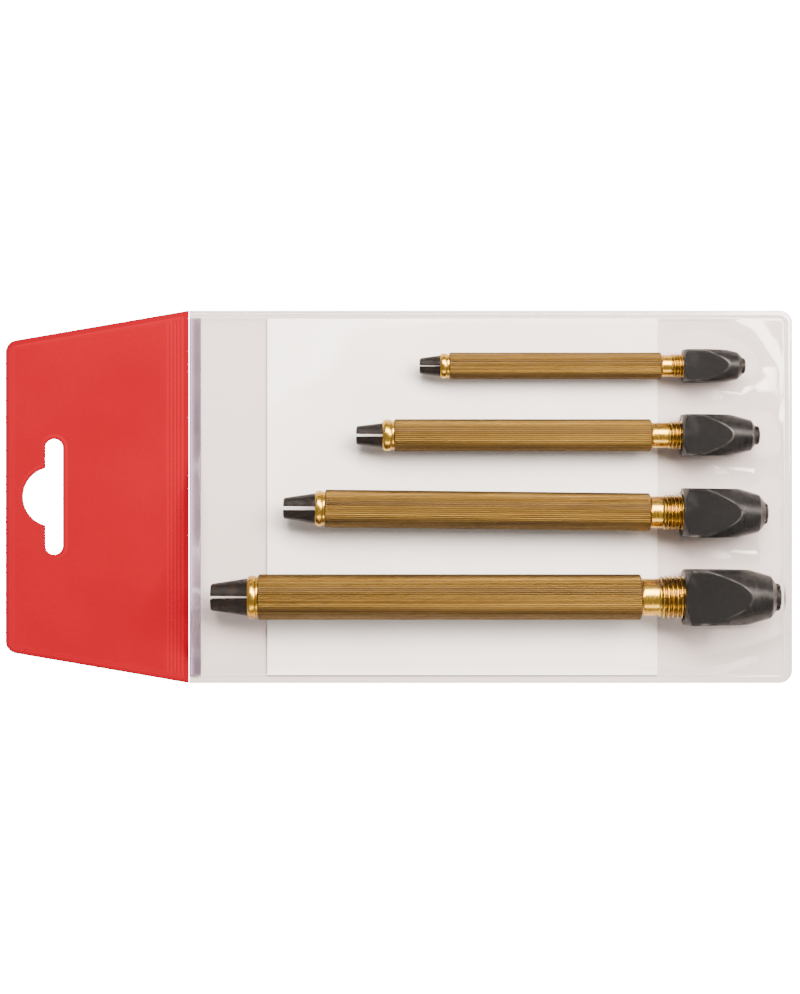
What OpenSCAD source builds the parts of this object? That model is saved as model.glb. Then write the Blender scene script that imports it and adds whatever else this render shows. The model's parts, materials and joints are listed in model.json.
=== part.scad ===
// Set of four double-ended pin vices in a clear wallet with a hanger flap.
// Lying on its back: +X towards the closed end of the pocket, +Z up.
// Lists of four run: mini, small, medium, large.

/* [Wallet] */
// Length of the clear pocket, from the fold to the closed end
pocket_l = 167.5; // [150:0.5:220]
// Width of the wallet
wallet_w = 103.5; // [85:0.5:140]
// Thickness of the clear film
film_t = 0.35; // [0.2:0.05:0.6]
// Width of the weld around the pocket
weld_w = 2.1; // [1.5:0.1:5]
// Corner radius of the closed end
wallet_corner_r = 3.6; // [1:0.1:8]
// Width of the strip along the pocket's mouth
strip_w = 3.2; // [2:0.1:8]
// Thickness of the strip along the pocket's mouth
strip_t = 0.3; // [0.2:0.05:0.6]
// Space between the front film and the largest outline of each vice
film_clear = 0.6; // [0.4:0.1:2]

/* [Insert card] */
// Length of the card behind the vices
card_l = 108.3; // [60:0.1:140]
// Thickness of the card
card_t = 0.4; // [0.2:0.05:0.8]
// Distance from the fold to the card
card_inset = 21.7; // [5:0.1:40]
// Space between the card and the weld, each side
card_clear = 0.2; // [0.1:0.05:1]

/* [Hanger flap] */
// Length of the flap, from the fold to its free edge
flap_l = 51; // [40:0.5:80]
// Width of the flap at its free edge, before its corners are rounded
flap_tip_w = 86; // [60:0.5:100]
// Corner radius at the flap's free edge
flap_corner_r = 3.4; // [1:0.1:8]
// Thickness of each of the flap's two sheets
sheet_t = 0.35; // [0.2:0.05:0.6]
// Width of the welded rim around the flap
flap_rim_w = 1.2; // [0.6:0.1:3]
// Length of the hanger slot
slot_l = 32; // [20:0.5:40]
// Width of the hanger slot
slot_w = 4.8; // [4.4:0.1:8]
// Radius of the round bulge in the hanger slot
bulge_r = 8.1; // [5:0.1:12]
// Offset of the bulge's centre from the slot's centre line
bulge_offset = 0.5; // [0:0.1:4]
// Distance from the free edge to the slot's centre line
slot_inset = 13.5; // [10:0.1:20]
// Width of the raised lip around the hanger slot
lip_w = 1.1; // [0.5:0.1:3]
// Height of the raised lip around the hanger slot
lip_h = 0.12; // [0.05:0.01:0.3]
// Number of weld lines beside the fold
weld_lines = 5; // [1:1:8]
// Spacing of the weld lines
weld_line_pitch = 1; // [0.8:0.1:2]
// Distance from the fold to the first weld line
weld_line_inset = 1.6; // [1:0.1:4]
// Width of each weld line
weld_line_w = 0.4; // [0.2:0.05:0.6]
// Depth of each weld line
weld_line_h = 0.15; // [0.05:0.01:0.25]

/* [Layout] */
// Height of the lowest side of the nuts above the table
nut_base = 1.15; // [1:0.05:3]
// Gap from each vice's collet to the closed end of the wallet
end_gap = [14.05, 10.35, 8.25, 4.95]; // [4:0.05:40]
// Turn of each vice in the plane of the wallet, in degrees
skew = [0, 0, -0.65, 0]; // [-1:0.05:1]

/* [Handles] */
// Outer diameter of the thread
thread_d = [6.8, 8, 10, 12]; // [5:0.05:16]
// Pitch of the thread
pitch = [0.75, 1, 1, 1.25]; // [0.5:0.05:1.75]
// Length of thread that shows behind the nut
thread_show = [3, 3.4, 5.1, 6.45]; // [1:0.05:10]
// Length of thread inside the nut
thread_in = [4.4, 5.4, 6, 7.2]; // [3:0.1:10]
// Depth of the relief behind the thread, below the thread's crests
neck_depth = [0.4, 0.5, 0.55, 0.85]; // [0.3:0.05:1.5]
// Length of the relief behind the thread
neck_l = [2.95, 4.95, 3.7, 5.2]; // [1:0.05:10]
// Largest radius of the fillet between the relief and the shoulder
fillet_r = [0.45, 0.7, 0.6, 0.9]; // [0.3:0.05:2]
// Wall of the tail socket, under the bead
tail_wall = [0.55, 0.9, 0.65, 0.67]; // [0.4:0.01:2]
// Length of the bead at the tail
bead_l = [1.9, 2.6, 2.1, 2.3]; // [1:0.1:5]
// Length of the groove between the bead and the knurl
groove_l = 0.5; // [0.3:0.05:1]
// Depth of that groove below the bead
groove_depth = [0.25, 0.35, 0.3, 0.35]; // [0.1:0.05:0.4]
// Height of the knurl above the bead
knurl_rise = [0.15, 0.05, 0.25, 0.33]; // [0.05:0.01:1]
// Length of the knurl
knurl_l = [58.3, 70.5, 89, 104.7]; // [40:0.1:150]
// Number of knurl ridges
ridges = [38, 46, 55, 66]; // [20:1:90]
// Depth of the knurl
knurl_depth = 0.2; // [0.1:0.05:0.4]
// Diameter of the bore through the handle
bore_d = [2, 2.8, 3.6, 4.8]; // [1:0.1:6]

/* [Nuts] */
// Wall between the thread and the flats
nut_wall = [0.95, 1.6, 1.65, 1.45]; // [0.6:0.05:3]
// Wall of the nose around the collet, where the cone ends
nose_wall = [1.55, 1.65, 2.25, 2.1]; // [1:0.05:4]
// Slope of the turned nose at its narrow end, in degrees
nose_angle = [14.5, 15, 16, 17.2]; // [13:0.1:20]
// Slope of the turned nose at its wide end, in degrees
back_angle = [14, 14.5, 14.5, 10.5]; // [8:0.1:15]
// Length of the blunt cone at the end of the nose
nose_cone_l = [1.1, 0.9, 1.5, 1.2]; // [0.5:0.05:3]
// Radial clearance between the nut and the thread
thread_clear = 0.05; // [0.02:0.01:0.1]

/* [Collets] */
// Length of a collet
collet_l = [15.15, 19.4, 22.9, 24]; // [14:0.05:32]
// How much smaller than the thread a collet is, on each side
collet_step = [0.45, 0.55, 0.7, 0.75]; // [0.4:0.05:1.5]
// Rise of the cone at each end of a collet
cone_rise = [0.78, 0.9, 1.4, 1.55]; // [0.6:0.01:2.2]
// Length of the cone at each end of a collet
cone_l = [6.2, 7.8, 9.2, 10.6]; // [4:0.1:11]
// Width of the slots
jaw_slot_w = [0.45, 0.8, 1, 0.9]; // [0.3:0.05:1.2]
// Diameter of the gripping bore at the working end
grip_d = [1.2, 1.8, 2.4, 3.2]; // [1:0.1:4]
// How far the working collet stands out of the nut
tip_out = [1, 1.4, 0.9, 1.4]; // [0.5:0.05:2]
// How deep the working collet sits in the handle
seat_l = [2.4, 3.4, 5.4, 4.7]; // [2:0.1:6]
// How far the spare collet stands out of the tail
spare_out = [5.75, 7.3, 8.8, 10.15]; // [4:0.05:12]
// Radial clearance between the collet and the nut's inner cone, with the nut slack
cone_clear = 0.12; // [0.1:0.01:0.2]
// Radial clearance between the collet and its seat in the handle
seat_clear = 0.04; // [0.01:0.01:0.1]
// Radial clearance between the spare collet and its socket
socket_clear = 0.03; // [0.01:0.01:0.1]

/* [Hidden] */
$fn = 96;

mini = 0;
small = 1;
medium = 2;
large = 3;
vices = [mini, small, medium, large];
over = 1;           // how far a cutter runs past the face it cuts
fold_gap = 0.1;     // gap between the flap and the pocket at the fold
groove_w = 0.4;     // width of the groove inside the flap's welded rim
jaw_web = 1.2;      // solid ring left in the middle of a collet between its two sets of slots
tip_round = 0.35;   // bevel at the outer edge of a collet's tip
knurl_bevel = 0.3;  // bevel at both ends of a knurl
face_w = 0.25;      // flat ring left on the nut's end around the collet
end_room = 0.8;     // free length past the collet in its seat and in its socket
chamfer_angle = 30; // slope of the turned edge at the back of a nut

// Places along the wallet
end_x = (pocket_l + flap_l) / 2;
fold_x = end_x - pocket_l;
free_x = fold_x - flap_l;
pocket_w = wallet_w - 2 * weld_w;   // inside width of the pocket
seam_z = 2 * film_t;
flap_z = 2 * sheet_t;

// The free width is shared between the vices and the two welds in this proportion
gap_share = [9.2, 9.1, 9.15, 8.7, 14.65];
// Sum of the first n values of a list
function sum_to(list, n) = n == 0 ? 0 : list[n - 1] + sum_to(list, n - 1);

// Sizes of a vice
function thread_depth(i) = 0.61 * pitch[i];
function neck_r(i) = thread_d[i] / 2 - neck_depth[i];
function collet_r(i) = thread_d[i] / 2 - collet_step[i];
function tip_r(i) = collet_r(i) - cone_rise[i];
function cone_slope(i) = cone_rise[i] / cone_l[i];
function socket_r(i) = collet_r(i) + socket_clear;
function bead_r(i) = socket_r(i) + tail_wall[i];
function knurl_r(i) = bead_r(i) + knurl_rise[i];
function flats(i) = thread_d[i] + 2 * (thread_clear + nut_wall[i]);
function nose_r(i) = tip_r(i) + nose_wall[i];
function nut_l(i) = thread_in[i] + collet_l[i] - seat_l[i] - tip_out[i];

// Places along a vice's own axis, from the handle's shoulder, + towards the nut
function nut_u(i) = neck_l[i] + thread_show[i];
function front_u(i) = nut_u(i) + thread_in[i];
function seat_u(i) = front_u(i) - seat_l[i];
function nose_u(i) = nut_u(i) + nut_l(i);
function tip_u(i) = nose_u(i) + tip_out[i];
function groove_u(i) = -knurl_l[i] - groove_l;
function tail_u(i) = groove_u(i) - bead_l[i];
function spare_u(i) = tail_u(i) - spare_out[i];

// Places in the wallet
function sum_flats(n) = n == 0 ? 0 : flats(n - 1) + sum_flats(n - 1);
free_w = pocket_w - sum_flats(4);
function axis_y(i) =
    pocket_w / 2 - free_w * sum_to(gap_share, i + 1) / sum_to(gap_share, 5) - sum_flats(i) - flats(i) / 2;
function axis_z(i) = nut_base + flats(i) / 2;
function tip_x(i) = end_x - end_gap[i];

// The turned nose of a nut is an arc between its two slopes
function chamfer_l(i) = (wide_r(i) - flats(i) / 2) * tan(chamfer_angle);
function nose_rise(i) = nose_run(i) * tan((nose_angle[i] + back_angle[i]) / 2);
function nose_run(i) = (nut_l(i) - nose_cone_l[i] - lost_l(i)) / (1 + lost_share(i));
// The chamfer's length follows from the rise, so the run is solved for both
function lost_l(i) = (nose_r(i) - flats(i) / 2) * tan(chamfer_angle);
function lost_share(i) = tan((nose_angle[i] + back_angle[i]) / 2) * tan(chamfer_angle);
function wide_r(i) = nose_r(i) + nose_rise(i);
function arc_r(i) = nose_run(i) / (sin(nose_angle[i]) - sin(back_angle[i]));

// Puts a vice's own axis, with its shoulder at the origin, in its place
module place(i) {
    translate([tip_x(i), axis_y(i), axis_z(i)])
        rotate([0, 0, skew[i]])
            translate([-tip_u(i), 0, 0])
                children();
}

// Turns a profile drawn as [distance along the axis, radius] about the X axis
module turned(points) {
    rotate([0, 90, 0])
        rotate_extrude()
            polygon([for (p = points) [p[1], p[0]]]);
}

// Round hole from u0 to u1 along the X axis
module drilled(u0, u1, r) {
    turned([[u0, 0], [u0, r], [u1, r], [u1, 0]]);
}

// ---- vices ----

// Star outline of a straight knurl
function knurl_points(i) =
    [for (k = [0:2 * ridges[i] - 1])
        let (r = knurl_r(i) - (k % 2) * knurl_depth, a = 180 * k / ridges[i])
        [r * cos(a), r * sin(a)]];

module knurl(i) {
    end_r = knurl_r(i) - knurl_bevel;
    wide = knurl_bevel + over;
    intersection() {
        rotate([0, -90, 0])
            linear_extrude(knurl_l[i])
                polygon(knurl_points(i));
        turned([
            [-knurl_l[i], 0], [-knurl_l[i], end_r], [-knurl_l[i] + wide, end_r + wide],
            [-wide, end_r + wide], [0, end_r], [0, 0]
        ]);
    }
}

// Ring-shaped crests, one for each turn of the thread
function thread_points(i) =
    [for (k = [0:floor((thread_show[i] + thread_in[i]) / pitch[i]) - 1])
        let (u = neck_l[i] + k * pitch[i], r = thread_d[i] / 2, root = r - thread_depth(i))
        each [
            [u, root], [u + 0.38 * pitch[i], r], [u + 0.5 * pitch[i], r], [u + 0.88 * pitch[i], root]
        ]];

module front_end(i) {
    root = thread_d[i] / 2 - thread_depth(i);
    turned(concat(
        [[-over, 0], [-over, neck_r(i)], [neck_l[i] - 0.3, neck_r(i)]],
        thread_points(i),
        [[front_u(i), root], [front_u(i), 0]]
    ));
}

// Fillet ring between the shoulder and the relief behind the thread
module fillet(i) {
    r = min(fillet_r[i], knurl_r(i) - knurl_bevel - neck_r(i));
    rotate([0, 90, 0])
        rotate_extrude()
            difference() {
                translate([neck_r(i) - r / 2, -r / 2])
                    square(1.5 * r);
                translate([neck_r(i) + r, r])
                    circle(r);
            }
}

module bead(i) {
    half = bead_l[i] / 2;
    groove = bead_r(i) - groove_depth[i];
    turned(concat(
        [[tail_u(i), 0]],
        [for (a = [0:15:180]) [tail_u(i) + half * (1 - cos(a)), bead_r(i) - 0.45 * half * (1 - sin(a))]],
        [[groove_u(i), groove], [-knurl_l[i] + over, groove], [-knurl_l[i] + over, 0]]
    ));
}

module handle(i) {
    front_r = tip_r(i) + seat_clear;
    mouth_r = front_r + cone_slope(i) * (seat_l[i] + over);
    color("goldenrod")
        place(i)
            difference() {
                union() {
                    knurl(i);
                    front_end(i);
                    fillet(i);
                    bead(i);
                }
                drilled(tail_u(i) - over, front_u(i) + over, bore_d[i] / 2);
                drilled(tail_u(i) - over, spare_u(i) + collet_l[i] + end_room, socket_r(i));
                turned([
                    [seat_u(i) - end_room, 0], [seat_u(i) - end_room, front_r], [seat_u(i), front_r],
                    [front_u(i) + over, mouth_r], [front_u(i) + over, 0]
                ]);
            }
}

// Outline of the turned nose, from its wide end to its narrow end
function nose_points(i) =
    [for (k = [0:12])
        let (a = back_angle[i] + (nose_angle[i] - back_angle[i]) * k / 12)
        [
            nut_u(i) + chamfer_l(i) + arc_r(i) * (sin(a) - sin(back_angle[i])),
            wide_r(i) - arc_r(i) * (cos(back_angle[i]) - cos(a))
        ]];

module nut(i) {
    inner_r = collet_r(i) + cone_clear;
    open_r = tip_r(i) + cone_clear - cone_slope(i) * (over - tip_out[i]);
    across = flats(i);
    color("dimgray")
        place(i)
            difference() {
                intersection() {
                    translate([nut_u(i), -across / 2, -across / 2])
                        cube([nut_l(i), across, across]);
                    turned(concat(
                        [[nut_u(i), 0], [nut_u(i), across / 2]],
                        nose_points(i),
                        [[nose_u(i), open_r + cone_slope(i) * over + face_w], [nose_u(i), 0]]
                    ));
                }
                drilled(nut_u(i) - over, front_u(i) + pitch[i], thread_d[i] / 2 + thread_clear);
                turned([
                    [front_u(i), 0], [front_u(i), inner_r], [tip_u(i) - cone_l[i], inner_r],
                    [nose_u(i) + over, open_r], [nose_u(i) + over, 0]
                ]);
            }
}

// A double-ended collet, with the working end's tip at the origin and its body towards -X
module collet(i, slot_turn) {
    reach = (collet_l[i] - jaw_web) / 2;
    middle = -collet_l[i] / 2;
    r = tip_r(i);
    difference() {
        turned([
            [-collet_l[i], 0], [-collet_l[i], r - tip_round], [-collet_l[i] + tip_round, r],
            [-collet_l[i] + cone_l[i], collet_r(i)], [-cone_l[i], collet_r(i)],
            [-tip_round, r], [0, r - tip_round], [0, 0]
        ]);
        drilled(middle, over, grip_d[i] / 2);
        drilled(-collet_l[i] - over, middle + over, grip_d[i] / 3);
        for (turn = [slot_turn, slot_turn + 90], start = [-reach, -collet_l[i] - over])
            rotate([turn, 0, 0])
                translate([start, -jaw_slot_w[i] / 2, -2 * r])
                    cube([reach + over, jaw_slot_w[i], 4 * r]);
    }
}

module working_collet(i) {
    color("dimgray")
        place(i)
            translate([tip_u(i), 0, 0])
                collet(i, 45);
}

module spare_collet(i) {
    color("darkslategray")
        place(i)
            translate([spare_u(i), 0, 0])
                rotate([0, 0, 180])
                    collet(i, 0);
}

// ---- wallet ----

// Outline of the pocket's films, square at the fold and round at the closed end
module pocket_outline() {
    r = wallet_corner_r;
    translate([fold_x, -wallet_w / 2])
        square([pocket_l - r, wallet_w]);
    translate([end_x - 2 * r, -wallet_w / 2 + r])
        square([2 * r, wallet_w - 2 * r]);
    for (side = [-1, 1])
        translate([end_x - r, side * (wallet_w / 2 - r)])
            circle(r);
}

module back_film() {
    color("gainsboro")
        linear_extrude(film_t)
            pocket_outline();
}

// Sideways room that a turned vice needs at its far end
function skew_room(i) = abs(sin(skew[i])) * (tip_u(i) - spare_u(i)) / 2;

// Section across the pocket in Y and Z: a taut film over the nuts' outlines, grown outwards
module film_section(grow) {
    hull() {
        for (i = vices)
            translate([axis_y(i), axis_z(i)])
                square([flats(i) + 2 * (film_clear + skew_room(i) + grow),
                        flats(i) + 2 * (film_clear + grow)], center = true);
        translate([-pocket_w / 2 - grow, film_t])
            square([pocket_w + 2 * grow, over]);
    }
}

// A section drawn in Y and Z, swept from x0 to x1
module swept(x0, x1) {
    translate([x0, 0, 0])
        rotate([90, 0, 90])
            linear_extrude(x1 - x0)
                children();
}

// Everything past the pocket's closed end, as a cutter: it leans over the largest nose
module past_end(grow) {
    top_z = nut_base + flats(large) + film_clear + grow;
    tip_z = axis_z(large) + tip_r(large) + 2 * film_clear + grow;
    tip_end = tip_x(large) + pitch[large] / 2 + film_clear + grow;
    end_in = end_x - weld_w + grow;
    translate([0, wallet_w, 0])
        rotate([90, 0, 0])
            linear_extrude(2 * wallet_w)
                polygon([
                    [tip_x(large) - nut_l(large) / 4, top_z],
                    [tip_end, tip_z],
                    [end_in, film_t], [end_in + over, 0],
                    [end_in + over, top_z + over], [tip_x(large) - nut_l(large) / 4, top_z + over]
                ]);
}

// The space under the front film, grown outwards by the film's thickness for its outside
module pocket_space(grow, x0) {
    intersection() {
        difference() {
            swept(x0, end_x - weld_w + grow)
                film_section(grow);
            past_end(grow);
        }
        translate([x0, -wallet_w, film_t])
            cube([2 * pocket_l, 2 * wallet_w, pocket_l]);
    }
}

module front_film() {
    color("lightgray")
        difference() {
            union() {
                translate([0, 0, film_t])
                    linear_extrude(film_t)
                        pocket_outline();
                pocket_space(film_t, fold_x);
            }
            pocket_space(0, fold_x - over);
        }
}

// The strip lies on the outside of the front film along its open end
module mouth_strip() {
    color("thistle")
        difference() {
            intersection() {
                swept(fold_x, fold_x + strip_w)
                    film_section(film_t + strip_t);
                translate([fold_x, -pocket_w / 2 - film_t, seam_z])
                    cube([strip_w, pocket_w + 2 * film_t, wallet_w]);
            }
            swept(fold_x - over, fold_x + strip_w + over)
                film_section(film_t);
        }
}

module insert_card() {
    color("white")
        translate([fold_x + card_inset, -pocket_w / 2 + card_clear, film_t])
            cube([card_l, pocket_w - 2 * card_clear, card_t]);
}

// Outline of the flap: a trapezoid with a rounded free edge, inset all round
module flap_outline(inset) {
    lean = atan((wallet_w - flap_tip_w) / 2 / flap_l);
    r = flap_corner_r - inset;
    x = free_x + flap_corner_r;
    y = flap_tip_w / 2 + flap_corner_r * (tan(lean) - 1 / cos(lean));
    fold_y = wallet_w / 2 - inset / cos(lean);
    polygon([
        [fold_x - fold_gap - inset, -fold_y], [fold_x - fold_gap - inset, fold_y],
        [x - r * sin(lean), y + r * cos(lean)], [x - r, y],
        [x - r, -y], [x - r * sin(lean), -y - r * cos(lean)]
    ]);
    for (side = [-1, 1])
        translate([x, side * y])
            circle(r);
}

// The hanger slot: a straight slot with round ends and a round bulge towards the free edge
module hanger_slot(grow) {
    r = slot_w / 2 + grow;
    slot_x = free_x + slot_inset;
    translate([slot_x - r, -slot_l / 2 + slot_w / 2])
        square([2 * r, slot_l - slot_w]);
    for (side = [-1, 1])
        translate([slot_x, side * (slot_l - slot_w) / 2])
            circle(r);
    intersection() {
        translate([slot_x - bulge_offset, 0])
            circle(bulge_r + grow);
        translate([free_x, -wallet_w / 2])
            square([slot_inset + r, wallet_w]);
    }
}

module flap_back_sheet() {
    color("firebrick")
        linear_extrude(sheet_t)
            difference() {
                flap_outline(0);
                hanger_slot(0);
            }
}

module flap_front_sheet() {
    line_x = fold_x - weld_line_inset - weld_line_w / 2;
    color("tomato")
        difference() {
            union() {
                translate([0, 0, sheet_t])
                    linear_extrude(sheet_t)
                        flap_outline(0);
                translate([0, 0, sheet_t])
                    linear_extrude(sheet_t + lip_h)
                        hanger_slot(lip_w);
            }
            linear_extrude(flap_z + over)
                hanger_slot(0);
            translate([0, 0, flap_z - weld_line_h])
                linear_extrude(over)
                    difference() {
                        flap_outline(flap_rim_w);
                        flap_outline(flap_rim_w + groove_w);
                    }
            for (k = [0:weld_lines - 1])
                translate([line_x - k * weld_line_pitch, -pocket_w / 2, flap_z - weld_line_h])
                    cube([weld_line_w, pocket_w, over]);
        }
}

back_film();
front_film();
mouth_strip();
insert_card();
flap_back_sheet();
flap_front_sheet();
handle(mini);  // mini_handle
nut(mini);  // mini_nut
working_collet(mini);  // mini_collet
spare_collet(mini);  // mini_spare_collet
handle(small);  // small_handle
nut(small);  // small_nut
working_collet(small);  // small_collet
spare_collet(small);  // small_spare_collet
handle(medium);  // medium_handle
nut(medium);  // medium_nut
working_collet(medium);  // medium_collet
spare_collet(medium);  // medium_spare_collet
handle(large);  // large_handle
nut(large);  // large_nut
working_collet(large);  // large_collet
spare_collet(large);  // large_spare_collet
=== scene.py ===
import json
import math
import bmesh
import bpy
import numpy as np
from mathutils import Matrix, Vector, geometry


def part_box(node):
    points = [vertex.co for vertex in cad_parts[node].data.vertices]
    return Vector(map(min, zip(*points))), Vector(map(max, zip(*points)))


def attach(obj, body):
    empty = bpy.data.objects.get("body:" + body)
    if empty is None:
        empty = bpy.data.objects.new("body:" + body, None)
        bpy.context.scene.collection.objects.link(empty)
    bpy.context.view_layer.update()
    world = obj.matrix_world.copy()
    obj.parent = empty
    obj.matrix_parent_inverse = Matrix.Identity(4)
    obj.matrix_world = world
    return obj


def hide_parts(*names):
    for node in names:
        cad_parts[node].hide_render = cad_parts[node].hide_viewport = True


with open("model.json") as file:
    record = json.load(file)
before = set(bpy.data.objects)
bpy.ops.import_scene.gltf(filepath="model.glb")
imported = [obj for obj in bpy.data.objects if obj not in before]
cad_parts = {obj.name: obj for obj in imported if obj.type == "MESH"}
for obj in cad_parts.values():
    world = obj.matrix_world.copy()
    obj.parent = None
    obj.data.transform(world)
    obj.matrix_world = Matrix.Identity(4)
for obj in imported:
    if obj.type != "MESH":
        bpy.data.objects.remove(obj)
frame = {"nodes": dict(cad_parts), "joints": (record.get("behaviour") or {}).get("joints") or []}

mm = 0.001  # metres
fullTurn = 2 * math.pi
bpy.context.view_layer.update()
jointList = {joint["name"]: joint for joint in frame["joints"]}
print("frame loaded")

# Sizes of each vice in millimetres and degrees
vices = {
    "mini": dict(
        knurlRadius=3.68, knurlLength=58.3, ridges=38, beadRadius=3.53, beadLength=1.9, grooveDepth=0.25,
        neckRadius=3.0, neckLength=2.95, filletRadius=0.36, threadRadius=3.4, pitch=0.75, threadShow=3.0,
        threadInside=4.4, boreRadius=1.0, socketRadius=2.98, colletRadius=2.95, tipRadius=2.17,
        coneLength=6.2, colletLength=15.15, seatLength=2.4, tipOut=1.0, spareOut=5.75, flats=8.8,
        wideRadius=7.14, noseAngle=14.5, backAngle=14.0, noseConeLength=1.1,
    ),
    "small": dict(
        knurlRadius=4.43, knurlLength=70.5, ridges=46, beadRadius=4.38, beadLength=2.6, grooveDepth=0.35,
        neckRadius=3.5, neckLength=4.95, filletRadius=0.6, threadRadius=4.0, pitch=1.0, threadShow=3.4,
        threadInside=5.4, boreRadius=1.4, socketRadius=3.48, colletRadius=3.45, tipRadius=2.55,
        coneLength=7.8, colletLength=19.4, seatLength=3.4, tipOut=1.4, spareOut=7.3, flats=11.3,
        wideRadius=8.76, noseAngle=15.0, backAngle=14.5, noseConeLength=0.9,
    ),
    "medium": dict(
        knurlRadius=5.23, knurlLength=89.0, ridges=55, beadRadius=4.98, beadLength=2.1, grooveDepth=0.3,
        neckRadius=4.45, neckLength=3.7, filletRadius=0.46, threadRadius=5.0, pitch=1.0, threadShow=5.1,
        threadInside=6.0, boreRadius=1.8, socketRadius=4.33, colletRadius=4.3, tipRadius=2.9,
        coneLength=9.2, colletLength=22.9, seatLength=5.4, tipOut=0.9, spareOut=8.8, flats=13.4,
        wideRadius=10.33, noseAngle=16.0, backAngle=14.5, noseConeLength=1.5,
    ),
    "large": dict(
        knurlRadius=6.28, knurlLength=104.7, ridges=66, beadRadius=5.95, beadLength=2.3, grooveDepth=0.35,
        neckRadius=5.15, neckLength=5.2, filletRadius=0.8, threadRadius=6.0, pitch=1.25, threadShow=6.45,
        threadInside=7.2, boreRadius=2.4, socketRadius=5.28, colletRadius=5.25, tipRadius=3.7,
        coneLength=10.6, colletLength=24.0, seatLength=4.7, tipOut=1.4, spareOut=10.15, flats=15.0,
        wideRadius=11.17, noseAngle=17.2, backAngle=10.5, noseConeLength=1.2,
    ),
}
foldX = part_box("back_film")[0].x / mm
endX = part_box("back_film")[1].x / mm
random = np.random.default_rng(7)


def add(tree, kind, inputs=None, **settings):
    node = tree.nodes.new(kind)
    for key, value in settings.items():
        setattr(node, key, value)
    for key, value in (inputs or {}).items():
        if isinstance(value, bpy.types.NodeSocket):
            tree.links.new(value, node.inputs[key])
        else:
            node.inputs[key].default_value = value
    return node


def newMaterial(name):
    material = bpy.data.materials.new(name)
    material.use_nodes = True
    tree = material.node_tree
    tree.nodes.clear()
    output = add(tree, "ShaderNodeOutputMaterial")
    return material, tree, output


def objectPoint(tree, scale=(1, 1, 1)):
    coordinates = add(tree, "ShaderNodeTexCoord").outputs["Object"]
    return add(tree, "ShaderNodeMapping", {"Vector": coordinates, "Scale": scale}).outputs[0]


def noise(tree, point, scale, detail=3.0, roughness=0.55):
    settings = {"Vector": point, "Scale": scale, "Detail": detail, "Roughness": roughness}
    return add(tree, "ShaderNodeTexNoise", settings).outputs["Fac"]


def spread(tree, value, low, high, fromLow=0.3, fromHigh=0.7):
    return add(tree, "ShaderNodeMapRange", {0: value, 1: fromLow, 2: fromHigh, 3: low, 4: high}).outputs[0]


def math2(tree, operation, a, b):
    return add(tree, "ShaderNodeMath", {0: a, 1: b}, operation=operation).outputs[0]


def mixColor(tree, factor, a, b):
    node = add(tree, "ShaderNodeMix", data_type="RGBA", blend_type="MIX")
    for key, value in ((0, factor), (6, a), (7, b)):
        if isinstance(value, bpy.types.NodeSocket):
            tree.links.new(value, node.inputs[key])
        else:
            node.inputs[key].default_value = value
    return node.outputs[2]


def mixValue(tree, factor, a, b):
    return add(tree, "ShaderNodeMix", {0: factor, 2: a, 3: b}).outputs[0]


def attribute(tree, name):
    return add(tree, "ShaderNodeAttribute", attribute_name=name).outputs["Fac"]


def bump(tree, height, strength, distance):
    settings = {"Height": height, "Strength": strength, "Distance": distance}
    return add(tree, "ShaderNodeBump", settings).outputs[0]


def principled(tree, output, **inputs):
    names = dict(
        color="Base Color", metallic="Metallic", roughness="Roughness", normal="Normal",
        specular="Specular IOR Level",
    )
    node = add(tree, "ShaderNodeBsdfPrincipled", {names[key]: value for key, value in inputs.items()})
    tree.links.new(node.outputs[0], output.inputs[0])
    return node


def brassMaterial():
    material, tree, output = newMaterial("turnedBrass")
    point = objectPoint(tree)
    along = objectPoint(tree, (0.004, 1, 1))
    rings = objectPoint(tree, (1, 0.12, 0.12))
    knurl = attribute(tree, "knurl")
    cavityShade = attribute(tree, "cavityShade")
    blotch = noise(tree, point, 160)
    streak = noise(tree, along, 1900, 2.0, 0.7)
    turning = noise(tree, rings, 5200, 2.0)
    deepBrass, paleBrass = (0.40, 0.222, 0.018, 1), (0.54, 0.322, 0.035, 1)
    polished = mixColor(tree, spread(tree, blotch, 0, 1), deepBrass, paleBrass)
    # random streaks along the knurl: the dark colour is painted shade and the light colour is painted
    # highlight, standing in for lit ridges and shaded grooves
    groove, litStreak = (0.032, 0.0158, 0.0022, 1), (0.150, 0.087, 0.0185, 1)
    ridged = mixColor(tree, spread(tree, streak, 0, 1), groove, litStreak)
    base = mixColor(tree, knurl, polished, ridged)
    # painted shade: the knurl valleys and thread roots are darkened towards near-black
    color = mixColor(tree, math2(tree, "MULTIPLY", cavityShade, 0.8), base, (0.008, 0.0034, 0.0006, 1))
    roughness = mixValue(tree, knurl, spread(tree, turning, 0.16, 0.3), spread(tree, streak, 0.3, 0.42))
    normal = bump(tree, mixValue(tree, knurl, turning, streak), 0.14, 0.00004)
    principled(tree, output, color=color, metallic=1.0, roughness=roughness, normal=normal)
    return material


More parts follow.
